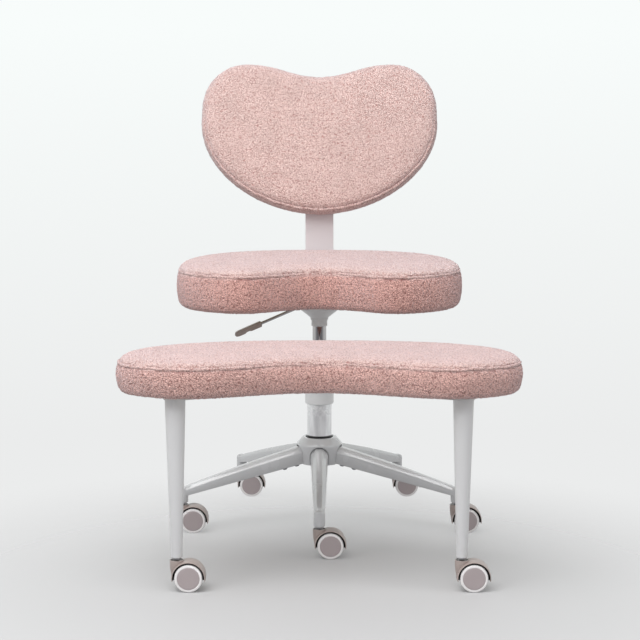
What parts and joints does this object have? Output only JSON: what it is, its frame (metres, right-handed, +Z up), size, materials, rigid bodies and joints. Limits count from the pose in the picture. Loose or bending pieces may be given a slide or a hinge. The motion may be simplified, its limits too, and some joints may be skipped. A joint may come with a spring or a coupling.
{
  "type": "cross-legged office chair",
  "caption": "Swivel office chair with kidney-shaped boucle seat and heart-shaped back on a gas lift, over a five-star base, with a wide foot platform that swings round the column on two legs.",
  "frame": {"origin": "point on the floor under the axis of the column", "axes": "+X to the left hand of someone sitting in the chair, -Y towards the front where the foot platform is, +Z up along the column"},
  "size_m": [0.7198, 0.8864, 0.9287],
  "materials": {
    "cushion_cloth": "pink looped boucle cloth over foam",
    "plywood": "bare birch plywood",
    "hood_plastic": "satin warm grey nylon",
    "wheel_plastic": "satin mauve grey nylon",
    "tyre_white": "off-white polyurethane tread",
    "bare_steel": "turned steel",
    "black_steel": "blackened steel",
    "chrome": "polished chrome",
    "tube_chrome": "satin chrome under clear film",
    "bush_plastic": "black acetal",
    "base_gloss": "glossy light grey nylon",
    "collar_plastic": "satin light grey plastic",
    "grey_paint": "satin light grey powder coat"
  },
  "bodies": {
    "base": {"base_hub": "base_gloss", "base_arm_1": "base_gloss", "base_arm_2": "base_gloss", "base_arm_3": "base_gloss", "base_arm_4": "base_gloss", "base_arm_5": "base_gloss", "base_arm_bolts": "bare_steel", "base_caster_stems": "bare_steel", "column_tube": "tube_chrome", "column_guide_bush": "bush_plastic", "thrust_bearing": "bare_steel"},
    "lift_rod": {"piston_rod": "bare_steel", "rod_clip": "black_steel"},
    "seat": {"gas_cylinder": "chrome", "seat_mechanism": "grey_paint", "seat_board": "plywood", "seat_cushion": "cushion_cloth", "back_bar": "grey_paint", "back_board": "collar_plastic", "back_cushion": "cushion_cloth", "seat_screws": "black_steel"},
    "lever": {"lever_rod": "chrome", "lever_paddle": "hood_plastic"},
    "valve_pin": {"release_pin": "bare_steel"},
    "platform": {"platform_collar": "collar_plastic", "platform_frame": "grey_paint", "platform_board": "plywood", "platform_cushion": "cushion_cloth", "platform_leg_left": "grey_paint", "platform_leg_right": "grey_paint", "platform_screws": "black_steel", "leg_caster_stems": "bare_steel"},
    "base_caster_1_fork": {"base_caster_1_hood": "hood_plastic", "base_caster_1_axle": "bare_steel"},
    "base_caster_1_wheelset": {"base_caster_1_wheels": "wheel_plastic", "base_caster_1_tyres": "tyre_white"},
    "base_caster_2_fork": {"base_caster_2_hood": "hood_plastic", "base_caster_2_axle": "bare_steel"},
    "base_caster_2_wheelset": {"base_caster_2_wheels": "wheel_plastic", "base_caster_2_tyres": "tyre_white"},
    "base_caster_3_fork": {"base_caster_3_hood": "hood_plastic", "base_caster_3_axle": "bare_steel"},
    "base_caster_3_wheelset": {"base_caster_3_wheels": "wheel_plastic", "base_caster_3_tyres": "tyre_white"},
    "base_caster_4_fork": {"base_caster_4_hood": "hood_plastic", "base_caster_4_axle": "bare_steel"},
    "base_caster_4_wheelset": {"base_caster_4_wheels": "wheel_plastic", "base_caster_4_tyres": "tyre_white"},
    "base_caster_5_fork": {"base_caster_5_hood": "hood_plastic", "base_caster_5_axle": "bare_steel"},
    "base_caster_5_wheelset": {"base_caster_5_wheels": "wheel_plastic", "base_caster_5_tyres": "tyre_white"},
    "leg_caster_1_fork": {"leg_caster_1_hood": "hood_plastic", "leg_caster_1_axle": "bare_steel"},
    "leg_caster_1_wheelset": {"leg_caster_1_wheels": "wheel_plastic", "leg_caster_1_tyres": "tyre_white"},
    "leg_caster_2_fork": {"leg_caster_2_hood": "hood_plastic", "leg_caster_2_axle": "bare_steel"},
    "leg_caster_2_wheelset": {"leg_caster_2_wheels": "wheel_plastic", "leg_caster_2_tyres": "tyre_white"}
  },
  "joints": [
    {"name": "seat_swivel", "type": "hinge", "parent": "base", "child": "lift_rod", "pos_m": [0, 0, 0.13], "axis": [0, 0, 1], "continuous": true},
    {"name": "seat_height", "type": "slide", "parent": "lift_rod", "child": "seat", "axis": [0, 0, 1], "range_m": [0, 0.1]},
    {"name": "height_lever", "type": "hinge", "parent": "seat", "child": "lever", "pos_m": [-0.024, 0, 0.4425], "axis": [0, 1, 0], "range_deg": [0, 9]},
    {"name": "valve_press", "type": "slide", "parent": "seat", "child": "valve_pin", "axis": [0, 0, -1], "range_m": [0, 0.0042]},
    {"name": "platform_swivel", "type": "hinge", "parent": "base", "child": "platform", "pos_m": [0, 0, 0.3], "axis": [0, 0, 1], "continuous": true},
    {"name": "base_caster_1_swivel", "type": "hinge", "parent": "base", "child": "base_caster_1_fork", "pos_m": [0, -0.287, 0.05], "axis": [0, 0, 1], "continuous": true},
    {"name": "base_caster_1_spin", "type": "hinge", "parent": "base_caster_1_fork", "child": "base_caster_1_wheelset", "pos_m": [0.021, -0.287, 0.025], "axis": [0, 1, 0], "continuous": true},
    {"name": "base_caster_2_swivel", "type": "hinge", "parent": "base", "child": "base_caster_2_fork", "pos_m": [-0.27295, -0.08869, 0.05], "axis": [0, 0, 1], "continuous": true},
    {"name": "base_caster_2_spin", "type": "hinge", "parent": "base_caster_2_fork", "child": "base_caster_2_wheelset", "pos_m": [-0.25195, -0.08869, 0.025], "axis": [0, 1, 0], "continuous": true},
    {"name": "base_caster_3_swivel", "type": "hinge", "parent": "base", "child": "base_caster_3_fork", "pos_m": [-0.16869, 0.23219, 0.05], "axis": [0, 0, 1], "continuous": true},
    {"name": "base_caster_3_spin", "type": "hinge", "parent": "base_caster_3_fork", "child": "base_caster_3_wheelset", "pos_m": [-0.14769, 0.23219, 0.025], "axis": [0, 1, 0], "continuous": true},
    {"name": "base_caster_4_swivel", "type": "hinge", "parent": "base", "child": "base_caster_4_fork", "pos_m": [0.16869, 0.23219, 0.05], "axis": [0, 0, 1], "continuous": true},
    {"name": "base_caster_4_spin", "type": "hinge", "parent": "base_caster_4_fork", "child": "base_caster_4_wheelset", "pos_m": [0.18969, 0.23219, 0.025], "axis": [0, 1, 0], "continuous": true},
    {"name": "base_caster_5_swivel", "type": "hinge", "parent": "base", "child": "base_caster_5_fork", "pos_m": [0.27295, -0.08869, 0.05], "axis": [0, 0, 1], "continuous": true},
    {"name": "base_caster_5_spin", "type": "hinge", "parent": "base_caster_5_fork", "child": "base_caster_5_wheelset", "pos_m": [0.29395, -0.08869, 0.025], "axis": [0, 1, 0], "continuous": true},
    {"name": "leg_caster_1_swivel", "type": "hinge", "parent": "platform", "child": "leg_caster_1_fork", "pos_m": [-0.252, -0.51, 0.05], "axis": [0, 0, 1], "continuous": true},
    {"name": "leg_caster_1_spin", "type": "hinge", "parent": "leg_caster_1_fork", "child": "leg_caster_1_wheelset", "pos_m": [-0.231, -0.51, 0.025], "axis": [0, 1, 0], "continuous": true},
    {"name": "leg_caster_2_swivel", "type": "hinge", "parent": "platform", "child": "leg_caster_2_fork", "pos_m": [0.252, -0.51, 0.05], "axis": [0, 0, 1], "continuous": true},
    {"name": "leg_caster_2_spin", "type": "hinge", "parent": "leg_caster_2_fork", "child": "leg_caster_2_wheelset", "pos_m": [0.273, -0.51, 0.025], "axis": [0, 1, 0], "continuous": true}
  ],
  "couplings": [
    {"joint": "valve_press", "follows": "height_lever", "m_per_rad": 0.026}
  ]
}
